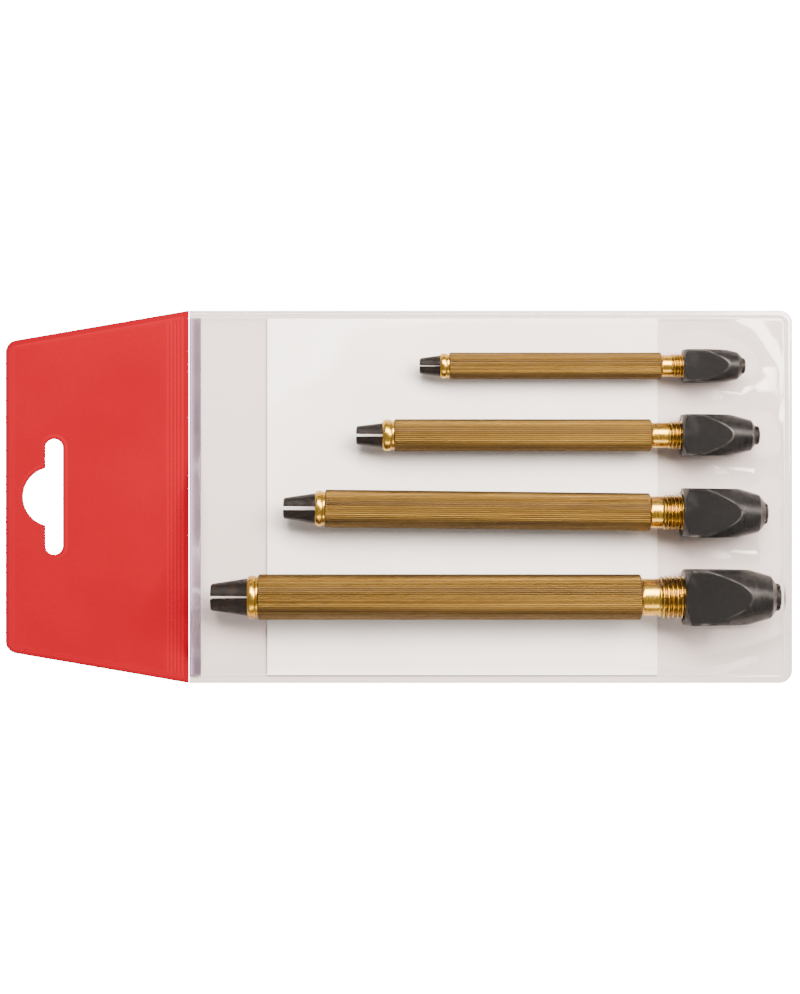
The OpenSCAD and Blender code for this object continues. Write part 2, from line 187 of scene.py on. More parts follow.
def nutMaterial():
    material, tree, output = newMaterial("blackedSteel")
    point = objectPoint(tree)
    rings = objectPoint(tree, (1, 0.1, 0.1))
    flat = attribute(tree, "flat")
    wearAndHighlight = attribute(tree, "wearAndHighlight")
    speckle = noise(tree, point, 2300, 4.0, 0.8)
    cloud = noise(tree, point, 260)
    turning = noise(tree, rings, 4200, 2.0)
    dark, grey = (0.0008, 0.0008, 0.0008, 1), (0.0088, 0.0084, 0.0082, 1)
    flatColor = mixColor(tree, spread(tree, speckle, 0, 1), dark, grey)
    dull, bright = (0.008, 0.0077, 0.0075, 1), (0.025, 0.024, 0.023, 1)
    noseColor = mixColor(tree, spread(tree, turning, 0, 1), dull, bright)
    base = mixColor(tree, flat, noseColor, flatColor)
    ragged = math2(tree, "MULTIPLY", wearAndHighlight, spread(tree, cloud, 0.0, 1.0, 0.38, 0.62))
    grit = math2(tree, "MULTIPLY", ragged, spread(tree, speckle, 0.45, 1.1, 0.3, 0.6))
    # light grey lines: rubbed edges, rings and corners, plus painted highlight that makes the edge lines
    # brighter along the top
    color = mixColor(tree, grit, base, (0.11, 0.10, 0.092, 1))
    metallic = mixValue(tree, flat, 0.75, 0.3)
    roughness = mixValue(tree, flat, spread(tree, turning, 0.27, 0.4), 0.55)
    normal = bump(tree, mixValue(tree, flat, turning, speckle), 0.5, 0.00004)
    surface = dict(metallic=metallic, roughness=roughness, specular=0.05)
    principled(tree, output, color=color, normal=normal, **surface)
    return material


def colletMaterial():
    material, tree, output = newMaterial("colletSteel")
    point = objectPoint(tree)
    rings = objectPoint(tree, (1, 0.15, 0.15))
    grain = noise(tree, point, 2600, 4.0, 0.7)
    patch = noise(tree, point, 420, 3.0)
    turning = noise(tree, rings, 3600, 2.0)
    dark, brown = (0.0022, 0.0016, 0.0012, 1), (0.0075, 0.0056, 0.0043, 1)
    base = mixColor(tree, spread(tree, grain, 0, 1), dark, brown)
    color = mixColor(tree, spread(tree, patch, 0, 0.55, 0.5, 0.75), base, (0.022, 0.009, 0.0035, 1))
    height = math2(tree, "ADD", math2(tree, "MULTIPLY", turning, 0.6), grain)
    roughness = spread(tree, grain, 0.4, 0.55)
    normal = bump(tree, height, 0.4, 0.00004)
    principled(tree, output, color=color, metallic=0.35, specular=0.12, roughness=roughness, normal=normal)
    return material


def vinylMaterial():
    material, tree, output = newMaterial("redVinyl")
    point = objectPoint(tree)
    grain = add(tree, "ShaderNodeTexVoronoi", {"Vector": point, "Scale": 1500.0}, feature="DISTANCE_TO_EDGE")
    cells = grain.outputs["Distance"]
    pores = noise(tree, point, 900, 4.0, 0.65)
    tone = noise(tree, point, 34, 2.0)
    rim = attribute(tree, "rim")
    press = attribute(tree, "press")
    deep, bright = (0.166, 0.0004, 0.0046, 1), (0.184, 0.0006, 0.0053, 1)
    base = mixColor(tree, spread(tree, tone, 0, 1), deep, bright)
    grained = mixColor(tree, spread(tree, pores, 0, 0.22), base, (0.140, 0.0006, 0.004, 1))
    edged = mixColor(tree, math2(tree, "MULTIPLY", rim, 0.7), grained, (0.135, 0.0003, 0.005, 1))
    color = mixColor(tree, math2(tree, "MULTIPLY", press, 0.4), edged, (0.27, 0.005, 0.014, 1))
    height = math2(tree, "ADD", math2(tree, "MULTIPLY", cells, 0.8), pores)
    roughness = spread(tree, pores, 0.55, 0.65)
    normal = bump(tree, height, 0.35, 0.00006)
    principled(tree, output, color=color, roughness=roughness, specular=0.008, normal=normal)
    return material


# Clear through, with a little haze, milky at its pressed edges and glossy where it catches light; on the
# mouth strip the milky edge line is a painted highlight
def filmMaterial(name, tint, haze, hazeColor, gloss):
    material, tree, output = newMaterial(name)
    point = objectPoint(tree)
    ripple = noise(tree, point, 70, 3.0)
    fine = noise(tree, point, 900, 3.0)
    edge = attribute(tree, "edge")
    height = math2(tree, "ADD", ripple, math2(tree, "MULTIPLY", fine, 0.03))
    normal = bump(tree, height, 0.25, 0.0006)
    clear = add(tree, "ShaderNodeBsdfTransparent", {"Color": tint})
    cloud = add(tree, "ShaderNodeBsdfDiffuse", {"Color": hazeColor, "Normal": normal})
    weldMilkAndHighlight = math2(tree, "MULTIPLY", edge, 0.42)
    hazy = math2(tree, "ADD", spread(tree, ripple, haze * 0.6, haze * 1.4), weldMilkAndHighlight)
    body = add(tree, "ShaderNodeMixShader", {0: hazy, 1: clear.outputs[0], 2: cloud.outputs[0]})
    roughness = spread(tree, fine, gloss * 0.8, gloss * 1.3)
    glossy = {"Color": (1, 1, 1, 1), "Roughness": roughness, "Normal": normal}
    shine = add(tree, "ShaderNodeBsdfGlossy", glossy)
    fresnel = add(tree, "ShaderNodeFresnel", {"IOR": 1.5, "Normal": normal})
    glint = math2(tree, "ADD", 0.004, attribute(tree, "shine"))
    shown = math2(tree, "MINIMUM", math2(tree, "MULTIPLY", fresnel.outputs[0], glint), 0.1)
    whole = add(tree, "ShaderNodeMixShader", {0: shown, 1: body.outputs[0], 2: shine.outputs[0]})
    tree.links.new(whole.outputs[0], output.inputs[0])
    return material


def cardMaterial():
    material, tree, output = newMaterial("whiteCard")
    point = objectPoint(tree)
    fibre = noise(tree, objectPoint(tree, (1, 3, 1)), 1100, 4.0, 0.65)
    tone = noise(tree, point, 28, 2.0)
    shade, light = (0.72, 0.675, 0.645, 1), (0.78, 0.738, 0.71, 1)
    base = mixColor(tree, spread(tree, tone, 0, 1), shade, light)
    color = mixColor(tree, spread(tree, fibre, 0, 0.2), base, (0.62, 0.585, 0.56, 1))
    normal = bump(tree, fibre, 0.3, 0.00005)
    principled(tree, output, color=color, roughness=0.82, specular=0.2, normal=normal)
    return material


def floorMaterial():
    material, tree, output = newMaterial("paleFloor")
    tone = noise(tree, objectPoint(tree), 3, 2.0)
    color = mixColor(tree, tone, (0.61, 0.545, 0.525, 1), (0.65, 0.582, 0.56, 1))
    surface = principled(tree, output, color=color, roughness=0.9, specular=0.1)
    path = add(tree, "ShaderNodeLightPath")  # the bare floor shows as a white backdrop
    bare = math2(tree, "LESS_THAN", path.outputs["Transparent Depth"], 0.5)
    seen = math2(tree, "MULTIPLY", path.outputs["Is Camera Ray"], bare)
    tree.links.new(math2(tree, "MULTIPLY", seen, 20.0), surface.inputs["Emission Strength"])
    surface.inputs["Emission Color"].default_value = (1, 1, 1, 1)
    return material


brass = brassMaterial()
blacked = nutMaterial()
steel = colletMaterial()
vinyl = vinylMaterial()
clearFilm = filmMaterial("clearFilm", (0.972, 0.966, 0.964, 1), 0.0012, (0.66, 0.64, 0.655, 1), 0.13)
stripFilm = filmMaterial("stripFilm", (0.80, 0.73, 0.79, 1), 0.22, (0.30, 0.22, 0.28, 1), 0.2)
paper = cardMaterial()
print("materials made")


# A mesh in millimetres that takes the place of CAD nodes and moves with a body
def makePiece(name, points, faces, material, body, slotName, replaced, values=None):
    mesh = bpy.data.meshes.new(name)
    mesh.from_pydata((np.asarray(points) * mm).tolist(), [], np.asarray(faces).tolist())
    for key, data in (values or {}).items():
        layer = mesh.attributes.new(key, "FLOAT", "POINT")
        layer.data.foreach_set("value", np.asarray(data, np.float32).ravel())
    mesh.materials.append(material)
    piece = bpy.data.objects.new(name, mesh)
    bpy.context.scene.collection.objects.link(piece)
    mesh.shade_smooth()
    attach(piece, body)
    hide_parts(*replaced)
    return piece


# A vice's axis: a point at the handle's shoulder, the way to the nut, sideways and up
def axisOf(size):
    joint = jointList[size + "_handle_turn"]
    origin = np.array(joint["pos_m"]) / mm
    ahead = np.array(joint["axis"], float)
    up = np.array([0.0, 0.0, 1.0])
    side = np.cross(up, ahead)
    return origin, ahead, side, up


def ringFaces(rows, sides):
    row = np.arange(rows)[:, None]
    side = np.arange(sides)[None, :]
    nextRow = (row + 1) % rows
    nextSide = (side + 1) % sides
    corners = [row * sides + side, row * sides + nextSide, nextRow * sides + nextSide, nextRow * sides + side]
    return np.stack([c.ravel() for c in np.broadcast_arrays(*corners)], axis=1)


# A turned shape: one ring of points for each place along the axis
def turnedPiece(name, size, along, radius, angle, **rest):
    origin, ahead, side, up = axisOf(size)
    u, r, a = (np.broadcast_to(x, radius.shape)[..., None] for x in (along, radius, angle))
    points = origin + ahead * u + side * r * np.cos(a) + up * r * np.sin(a)
    return makePiece(name, points.reshape(-1, 3), ringFaces(*radius.shape), **rest)


handleLook = dict(
    knurlDepth=0.2, knurlBevel=0.3, grooveLength=0.5, threadDepthShare=0.61, samplesPerRidge=6,
    seatClear=0.04, endRoom=0.8, mouthChamfer=0.12, beadFall=0.45, valleySlope=2.6, valleyStart=0.3,
    rowsPerPitch=8, runInShare=0.45, crestShare=0.1, neckGap=0.02,
)


# Distances along the axis from the handle's shoulder
def places(v):
    nutStart = v["neckLength"] + v["threadShow"]
    front = nutStart + v["threadInside"]
    noseEnd = nutStart + v["threadInside"] + v["colletLength"] - v["seatLength"] - v["tipOut"]
    tail = -v["knurlLength"] - handleLook["grooveLength"] - v["beadLength"]
    return dict(nutStart=nutStart, front=front, noseEnd=noseEnd, tip=noseEnd + v["tipOut"], tail=tail)


def handlePiece(size):
    v = vices[size]
    look = handleLook
    at = places(v)
    front, tail = at["front"], at["tail"]
    slope = (v["colletRadius"] - v["tipRadius"]) / v["coneLength"]
    seat = front - v["seatLength"]
    socketEnd = tail - v["spareOut"] + v["colletLength"] + look["endRoom"]
    mouth = v["tipRadius"] + look["seatClear"]
    half = v["beadLength"] / 2
    rows = [(tail, v["socketRadius"] + look["mouthChamfer"], 0, 0)]  # place, radius, knurled, threaded
    for a in np.radians(np.arange(0, 181, 10)):
        fall = look["beadFall"] * half * (1 - math.sin(a))
        rows.append((tail + half * (1 - math.cos(a)), v["beadRadius"] - fall, 0, 0))
    groove = v["beadRadius"] - v["grooveDepth"]
    knurlEnd = -v["knurlLength"]
    for back, lift in ((0.42, 0.02), (0.3, 0), (0.08, 0), (0, 0)):  # the groove beside the bead
        rows.append((knurlEnd - back, groove + lift, 0, 0))
    bevels = np.array([0, 0.06, 0.12, 0.18, 0.24, 0.3, 0.42, 0.7])  # rows close together at both ends
    middle = np.linspace(knurlEnd + 2.5, -2.5, 24)
    for u in np.concatenate([knurlEnd + bevels, middle, -bevels[::-1]]):
        rows.append((u, v["knurlRadius"], 1, 0))
    fillet = v["filletRadius"]
    for a in np.radians(np.arange(90, -1, -15)):
        rows.append((fillet * (1 - math.sin(a)), v["neckRadius"] + fillet * (1 - math.cos(a)), 0, 0))
    neck = np.linspace(fillet + 0.2, v["neckLength"] - v["pitch"] * 0.6, 6)
    rows += [(u, v["neckRadius"], 0, 0) for u in neck]
    runIn = v["neckLength"] - v["pitch"] * look["runInShare"]
    for u in np.arange(runIn, front - 0.01, v["pitch"] / look["rowsPerPitch"]):
        rows.append((u, v["threadRadius"], 0, 1))
    root = v["threadRadius"] - look["threadDepthShare"] * v["pitch"]
    inner = mouth + slope * v["seatLength"]
    boreStart = seat - look["endRoom"]
    rows += [(front, root, 0, 0), (front, inner, 0, 0), (seat, mouth, 0, 0), (boreStart, mouth, 0, 0)]
    rows += [(boreStart, v["boreRadius"], 0, 0), (socketEnd, v["boreRadius"], 0, 0)]
    rows += [(socketEnd, v["socketRadius"], 0, 0), (tail + look["mouthChamfer"], v["socketRadius"], 0, 0)]
    u, r, knurl, thread = (np.array(c, float)[:, None] for c in zip(*rows))
    sides = v["ridges"] * look["samplesPerRidge"]
    angle = np.linspace(0, fullTurn, sides, endpoint=False)[None, :]
    phase = angle * v["ridges"] / fullTurn % 1
    valley = np.clip(np.abs(phase - 0.5) * look["valleySlope"] - look["valleyStart"], 0, 1)
    ridged = v["knurlRadius"] - look["knurlDepth"] * valley
    fromEnd = np.minimum(u - knurlEnd, -u)
    ridged = np.minimum(ridged, v["knurlRadius"] - look["knurlBevel"] + np.maximum(fromEnd, 0))
    turn = (u / v["pitch"] - angle / fullTurn) % 1
    crest = look["crestShare"]
    tooth = np.clip((np.abs(turn - 0.5) * 2 - crest) / (1 - 2 * crest), 0, 1)
    runUp = np.clip((u - v["neckLength"] + v["pitch"] * look["runInShare"]) / v["pitch"], 0, 1)
    depth = look["threadDepthShare"] * v["pitch"]
    gap = look["neckGap"]
    rise = v["neckRadius"] - gap + (v["threadRadius"] - v["neckRadius"] + gap) * runUp
    threaded = np.minimum(v["threadRadius"] - depth * tooth, rise)
    threaded = np.minimum(threaded, root + np.maximum(front - u, 0))
    radius = np.where(knurl > 0, ridged, np.where(thread > 0, threaded, r + 0 * angle))
    # painted shade mask: strongest in the knurl valleys, 0.8 at the thread roots
    cavityShade = np.where(knurl > 0, valley, np.where(thread > 0, tooth * 0.8, 0))
    turnedPiece(
        size + "Handle", size, u, radius, angle, material=brass, body=size + "_vice_handle", slotName="brass",
        replaced=[size + "_handle"], values={"knurl": knurl + 0 * angle, "cavityShade": cavityShade},
    )


# A soft line at a distance from an edge
def line(d, centre, width, power=2):
    return np.exp(-((d - centre) / width) ** power)


nutLook = dict(
    edgeRound=0.04, wearWidth=0.05, chamferAngle=30, coneClear=0.12, faceWidth=0.14, threadClear=0.05,
    rowStep=0.15, sideStep=0.2, cornerCut=0.12, edgeBlend=0.03, edgeWear=0.9, cornerWear=0.7,
    ringWear=((0.75, 0.09), (0.6, 0.06), (0.5, 0.07)),  # amount and width at the cone, nose and back
)


# The nut's turned outline: chamfer, barrel curve and nose cone
def nutProfile(v):
    look = nutLook
    nutStart, noseEnd = places(v)["nutStart"], places(v)["noseEnd"]
    tangent = math.tan(math.radians(look["chamferAngle"]))
    half = v["flats"] / 2
    chamfer = (v["wideRadius"] - half) * tangent
    coneStart = noseEnd - v["noseConeLength"]
    run = coneStart - nutStart - chamfer
    back, nose = math.radians(v["backAngle"]), math.radians(v["noseAngle"])
    arc = run / (math.sin(nose) - math.sin(back))
    slope = (v["colletRadius"] - v["tipRadius"]) / v["coneLength"]
    hole = v["tipRadius"] + look["coneClear"] + slope * v["tipOut"]
    a = np.linspace(back, nose, 60)
    u = nutStart + chamfer + arc * (np.sin(a) - math.sin(back))
    r = v["wideRadius"] - arc * (math.cos(back) - np.cos(a))
    outU = np.concatenate([[nutStart], u, [noseEnd]])
    outR = np.concatenate([[half], r, [hole + look["faceWidth"]]])
    return outU, outR, coneStart, hole


def nutPiece(size):
    v = vices[size]
    look = nutLook
    nutStart, front, noseEnd, tip = (places(v)[key] for key in ("nutStart", "front", "noseEnd", "tip"))
    outU, outR, coneStart, hole = nutProfile(v)
    fine = np.arange(nutStart + 0.06, noseEnd - 0.04, look["rowStep"])
    atCone = [coneStart, coneStart - 0.05, coneStart + 0.05]
    ends = np.array(atCone + [nutStart, nutStart + 0.02, noseEnd, noseEnd - 0.02])
    outer = np.unique(np.round(np.concatenate([fine, ends]), 3))
    profile = np.interp(outer, outU, outR)
    bore = v["threadRadius"] + look["threadClear"]
    inside = v["colletRadius"] + look["coneClear"]
    relief = front + v["pitch"]
    innerRows = [(noseEnd, hole), (tip - v["coneLength"], inside), (relief, inside), (relief, bore)]
    innerRows += [(nutStart + 0.1, bore), (nutStart, bore + 0.1)]
    count = len(outer)
    u = np.concatenate([outer, [p[0] for p in innerRows]])[:, None]
    turnedR = np.concatenate([profile, [p[1] for p in innerRows]])[:, None]
    sides = 8 * round(fullTurn * v["flats"] * 0.6 / look["sideStep"] / 8)
    angle = np.linspace(0, fullTurn, sides, endpoint=False)[None, :]
    cosine = np.maximum(np.abs(np.cos(angle)), np.abs(np.sin(angle)))
    corner = v["flats"] / 2 * math.sqrt(2)
    square = v["flats"] / 2 / cosine
    soft = look["edgeRound"]
    square = -soft * np.log(np.exp(-square / soft) + np.exp(-(corner - look["cornerCut"]) / soft))
    both = np.minimum(turnedR, square) - soft * np.log1p(np.exp(-np.abs(turnedR - square) / soft))
    outside = (np.arange(len(u)) < count)[:, None]
    radius = np.where(outside, both, turnedR + 0 * angle)
    gap = turnedR - square
    flat = np.where(outside, 1 / (1 + np.exp(-gap / look["edgeBlend"])), 0)
    lineWear = look["edgeWear"] * line(gap, 0, look["wearWidth"])
    rings = zip((coneStart, noseEnd, nutStart), look["ringWear"])
    ringWear = sum(amount * line(u, place, width) for place, (amount, width) in rings)
    cornerWear = look["cornerWear"] * line(np.abs(np.sin(2 * angle)), 1, 0.004) * flat
    # painted highlight: the edge lines are made stronger towards the top of the nut
    lit = 0.75 + 0.25 * np.sin(angle)
    wearAndHighlight = np.where(outside, np.clip(np.maximum(np.maximum(lineWear * lit, ringWear), cornerWear), 0, 1), 0)
    turnedPiece(
        size + "Nut", size, u, radius, angle, material=blacked, body=size + "_chuck_nut",
        slotName="blacked_steel", replaced=[size + "_nut"], values={"flat": flat, "wearAndHighlight": wearAndHighlight},
    )


for size in vices:
    handlePiece(size)
    nutPiece(size)
    for node in (size + "_collet", size + "_spare_collet"):
        shown = frame["nodes"][node]
        shown.data.materials.clear()
        shown.data.materials.append(steel)
print("vices made")


wallet = dict(
    halfWidth=51.75, weldWidth=2.1, cornerRadius=3.6, filmThickness=0.3, filmTop=0.7, step=0.8,
    clearance=0.52, skinRoom=0.15, sag=0.02, ripple=0.12, pleat=0.5, pleatReach=11.0, pleatRate=3.5,
    pleatShift=1.3, weldEase=5.0, ceiling=17.3, backTop=0.33, backThickness=0.2, backStep=3.0,
    leanLength=40.0, pullRoom=2.5, travelBehind=0.5, travelAhead=0.15,
)


# Largest radius along a vice, with its spare collet's way out of the tail
def viceOutline(v):
    nutStart, noseEnd, tip, tail = (places(v)[key] for key in ("nutStart", "noseEnd", "tip", "tail"))
    outU, outR = nutProfile(v)[:2]
    pulled = tail - v["colletLength"] - wallet["pullRoom"]
    wide = v["colletRadius"] + 0.1
    u = [pulled - 0.01, pulled, pulled + v["coneLength"], tail - 0.01, tail, -0.2]
    u += [0, nutStart - 0.3, nutStart]
    r = [0, v["tipRadius"] + 0.1, wide, wide, v["beadRadius"], v["knurlRadius"]]
    r += [v["threadRadius"], v["threadRadius"], v["flats"] / 2]
    travel = v["pitch"] / 2
    u += list(outU[1:]) + [noseEnd + travel, noseEnd + travel, tip + travel + 0.2, tip + travel + 0.21]
    r += list(outR[1:]) + [outR[-1], v["tipRadius"], v["tipRadius"], 0]
    return np.array(u), np.array(r)


# Height that the film has to clear, with the vice's travel along its thread
def viceTop(x, y, room):
    top = np.full(np.broadcast(x, y).shape, -10.0)
    for size, v in vices.items():
        origin, ahead, side = axisOf(size)[:3]
        profileU, profileR = viceOutline(v)
        u = (x - origin[0]) * ahead[0] + (y - origin[1]) * ahead[1]
        t = np.abs((x - origin[0]) * side[0] + (y - origin[1]) * side[1])
        shifts = (-wallet["travelAhead"], 0, v["pitch"] + wallet["travelBehind"])
        bare = np.max([np.interp(u + shift, profileU, profileR, 0, 0) for shift in shifts], axis=0)
        limit = np.where(u > places(v)["nutStart"] - 0.3, v["flats"] / 2, 50.0) + room
        radius = bare + room
        height = origin[2] + np.minimum(np.sqrt(np.maximum(radius**2 - t**2, 0)), limit)
        reach = np.minimum(radius, limit)
        top = np.maximum(top, np.where((t <= reach) & (bare > 0.05), height, -10))
    return top


# A taut skin over the vices, held down at its three welds and free at the mouth
def filmHeights():
    low, high = wallet["weldWidth"] - wallet["halfWidth"], wallet["halfWidth"] - wallet["weldWidth"]
    right = endX - wallet["weldWidth"]
    heights = None
    for level, rounds in ((4.0, 300), (2.0, 300), (1.0, 400), (0.5, 500)):  # from coarse to fine
        xs = np.linspace(foldX, right, int(round((right - foldX) / level)) + 1)
        ys = np.linspace(low, high, int(round((high - low) / level)) + 1)
        floor = viceTop(xs[:, None], ys[None, :], wallet["clearance"] + wallet["skinRoom"])
        if heights is None:
            heights = np.maximum(floor, wallet["filmTop"])
        else:
            heights = gridSample(oldX, oldY, heights, xs[:, None] + 0 * ys, ys[None, :] + 0 * xs[:, None])
        pull = wallet["sag"] * level**2
        for _ in range(rounds):
            h = heights
            around = np.empty_like(h)
            around[1:-1, 1:-1] = (h[2:, 1:-1] + h[:-2, 1:-1] + h[1:-1, 2:] + h[1:-1, :-2]) / 4
            around[0, 1:-1] = (2 * h[1, 1:-1] + h[0, 2:] + h[0, :-2]) / 4
            around[:, 0] = around[:, -1] = wallet["filmTop"]
            around[-1, :] = wallet["filmTop"]
            heights = np.maximum(np.maximum(around - pull, floor), wallet["filmTop"])
            heights[:, 0] = heights[:, -1] = heights[-1, :] = wallet["filmTop"]
        oldX, oldY = xs, ys
    return oldX, oldY, heights


def gridSample(xs, ys, grid, x, y):
    i = np.clip((x - xs[0]) / (xs[1] - xs[0]), 0, len(xs) - 1.001)
    j = np.clip((y - ys[0]) / (ys[1] - ys[0]), 0, len(ys) - 1.001)
    a, b = i.astype(int), j.astype(int)
    s, t = i - a, j - b
    near = grid[a, b] * (1 - s) * (1 - t) + grid[a + 1, b] * s * (1 - t)
    return near + grid[a, b + 1] * (1 - s) * t + grid[a + 1, b + 1] * s * t


heightX, heightY, heightGrid = filmHeights()
waves = [
    (random.uniform(0.08, 0.45), random.uniform(0, fullTurn), random.uniform(0, fullTurn)) for _ in range(14)
]


def ripples(x, y):
    total = 0
    for rate, heading, phase in waves:
        along = x * math.cos(heading) + y * math.sin(heading)
        total = total + np.sin(rate * along + phase) / (1 + 3 * rate)
    return total / len(waves) * 2


# Folds that run out from each nose to the closed end
def pleats(x, y):
    total = 0
    for index, size in enumerate(vices):
        origin, ahead = axisOf(size)[:2]
        tip = places(vices[size])["tip"]
        cx, cy = origin[0] + tip, origin[1] + ahead[1] * tip
        reach = np.hypot(x - cx, y - cy)
        bearing = np.arctan2(y - cy, x - cx + 6)
        fade = np.clip(reach / 4, 0, 1) * np.exp(-reach / wallet["pleatReach"])
        fade = fade * np.clip((x - cx + 10) / 8, 0, 1)
        rate = wallet["pleatRate"] + 0.5 * index
        total = total + fade * np.abs(np.cos(bearing * rate + index * wallet["pleatShift"])) ** 3
    return total


def filmTop(x, y):
    fromSide = wallet["halfWidth"] - wallet["weldWidth"] - np.abs(y)
    fromEnd = endX - wallet["weldWidth"] - x
    inside = np.clip(np.minimum(fromSide, fromEnd) / wallet["weldEase"], 0, 1)
    z = gridSample(heightX, heightY, heightGrid, x, y)
    z = z + inside * (wallet["ripple"] * ripples(x, y) + wallet["pleat"] * pleats(x, y))
    z = np.maximum(np.maximum(z, viceTop(x, y, wallet["clearance"])), wallet["filmTop"])
    return np.minimum(z, wallet["ceiling"])


# Distance to the pocket's outline, which has no edge at the mouth
def outlineDistance(x, y):
    r = wallet["cornerRadius"]
    dx, dy = np.where(x > 0, endX - x, 1e3), wallet["halfWidth"] - np.abs(y)
    corner = r - np.hypot(np.maximum(r - dx, 0), np.maximum(r - dy, 0))
    return np.where((dx < r) & (dy < r), corner, np.minimum(dx, dy))


weld = dict(
    beadHeight=0.1, beadAt=1.35, beadWidth=0.5, edgeDrop=0.22, edgeWidth=0.3, lineDepth=0.05, lineAt=2.25,
    lineWidth=0.15,
)


# The weld's bead, its rounded outer edge and the line inside it
def weldBead(d):
    bead = weld["beadHeight"] * line(d, weld["beadAt"], weld["beadWidth"], 4)
    drop = weld["edgeDrop"] * np.clip(1 - d / weld["edgeWidth"], 0, 1) ** 2
    return bead - drop - weld["lineDepth"] * line(d, weld["lineAt"], weld["lineWidth"])


# A grid over the pocket, fine along the welds
def pocketGrid(step):
    bands = np.array([0, 0.1, 0.25, 0.5, 0.7, 0.9, 1.35, 1.8, 2.0, 2.15, 2.3, 2.5, 2.9, 3.4, 4.0])
    half, r, right = wallet["halfWidth"], wallet["cornerRadius"], endX
    xs = np.concatenate([np.arange(foldX, right - 4.4, step), right - bands[::-1]])
    share = np.linspace(-1, 1, int(2 * (half - 4) / step) + 1)
    rounded = half - r + np.sqrt(np.maximum(r**2 - (xs - right + r) ** 2, 0))
    edge = np.where(xs > right - r, rounded, half)
    columns = []
    for limit in edge:
        inner = share * (limit - 4.6)
        columns.append(np.concatenate([bands - limit, inner, limit - bands[::-1]]))
    return np.repeat(xs[:, None], len(columns[0]), axis=1), np.array(columns)


def gridFaces(rows, columns):
    i, j = np.meshgrid(np.arange(rows - 1), np.arange(columns - 1), indexing="ij")
    first = i * columns + j
    return np.stack([first, first + columns, first + columns + 1, first + 1], axis=-1).reshape(-1, 4)


camera = dict(distance=600.0, lens=78.18, sensor=36.0, centre=(0.28, -0.06))  # millimetres


# The open edge of the front film draws back a little where the film stands high
def leanBack(x, z):
    return x - foldX * z / camera["distance"] * np.clip(1 - (x - foldX) / wallet["leanLength"], 0, 1)


def thicken(piece, thickness):
    solid = piece.modifiers.new("thickness", "SOLIDIFY")
    solid.thickness = thickness * mm
    solid.offset = -1
    solid.use_even_offset = True


filmShine = dict(start=84, run=14, end=0.7, weld=0.4, weldReach=4, overVice=0.006, viceRoom=1.8)


def frontFilm():
    look = filmShine
    x, y = pocketGrid(wallet["step"])
    d = outlineDistance(x, y)
    z = np.where(d < wallet["weldWidth"], wallet["filmTop"], filmTop(x, y)) + weldBead(d) * (d < 2.6)
    edge = 0.5 * line(d, 0.15, 0.2) + 0.45 * line(d, weld["lineAt"], weld["lineWidth"])
    edge = edge + 0.25 * line(d, 0.7, 0.12)
    shine = look["end"] * np.clip((x - look["start"]) / look["run"], 0, 1)
    shine = shine + look["weld"] * line(d, 0, look["weldReach"])
    shine = np.where(viceTop(x, y, look["viceRoom"]) > -5, look["overVice"], shine)
    points = np.stack([leanBack(x, z), y, z], axis=-1).reshape(-1, 3)
    piece = makePiece(
        "frontFilm", points, gridFaces(*x.shape), clearFilm, "wallet", "clear_film", ["front_film"],
        {"edge": edge, "shine": shine},
    )
    thicken(piece, wallet["filmThickness"])


def backFilm():
    x, y = pocketGrid(wallet["backStep"])
    d = outlineDistance(x, y)
    z = wallet["backTop"] - 0.1 * np.clip(1 - d / 0.3, 0, 1) ** 2
    edge = 0.4 * line(d, 0.1, 0.2)
    points = np.stack([x, y, z], axis=-1).reshape(-1, 3)
    piece = makePiece(
        "backFilm", points, gridFaces(*x.shape), clearFilm, "wallet", "clear_film", ["back_film"],
        {"edge": edge},
    )
    thicken(piece, wallet["backThickness"])


strip = dict(
    width=3.2, edgeInset=0.15, weldGap=0.1, thickness=0.25, lift=0.34, tuck=0.16, columns=240, edgeHighlight=1.6,
    shine=0.25,
)


def mouthStrip():
    across = np.array([0, 0.04, 0.12, 0.25, 0.5, 0.75, 0.88, 0.96, 1.0])
    inner = wallet["halfWidth"] - wallet["weldWidth"] - strip["weldGap"]
    ys = np.linspace(-inner, inner, strip["columns"])
    xs = foldX + strip["edgeInset"] + across * (strip["width"] - strip["edgeInset"])
    x, y = np.meshgrid(xs, ys, indexing="ij")
    lip = 1 - np.abs(2 * across - 1) ** 8
    z = filmTop(x, y) + strip["lift"] - strip["tuck"] * (1 - lip)[:, None]
    # painted highlight: a bright line along the strip's rolled open edge
    bright = line(across, 0.1, 0.13)[:, None] + 0 * y
    points = np.stack([leanBack(x, z), y, z], axis=-1).reshape(-1, 3)
    piece = makePiece(
        "mouthStrip", points, gridFaces(*x.shape), stripFilm, "wallet", "strip_film", ["mouth_strip"],
        {"edge": bright * strip["edgeHighlight"], "shine": strip["shine"] + 0 * bright},
    )
    thicken(piece, strip["thickness"])


frontFilm()
backFilm()
mouthStrip()
cardMesh = frame["nodes"]["insert_card"].data
cardMesh.materials.clear()
cardMesh.materials.append(paper)
print("films made")


flap = dict(
    length=51.0, tipHalfWidth=43.0, cornerRadius=3.4, rim=1.2, slotInset=13.5, slotHalfWidth=2.4,
    slotHalfLength=16.0, bulgeRadius=8.1, bulgeOffset=0.5, lip=1.1, lipHeight=0.1, firstLine=1.8,
    linePitch=1.0, lines=5, lineDepth=0.11, lineWidth=0.17, waveHeight=0.035, foldGap=0.1, rimDepth=0.09,
    rimDrop=0.16, holeDrop=0.12, top=0.66, thickness=0.58,
)


def arcPoints(cx, cy, r, start, stop, step=0.35):
    count = max(3, int(abs(stop - start) * r / step))
    return [(cx + r * math.cos(a), cy + r * math.sin(a)) for a in np.linspace(start, stop, count)]


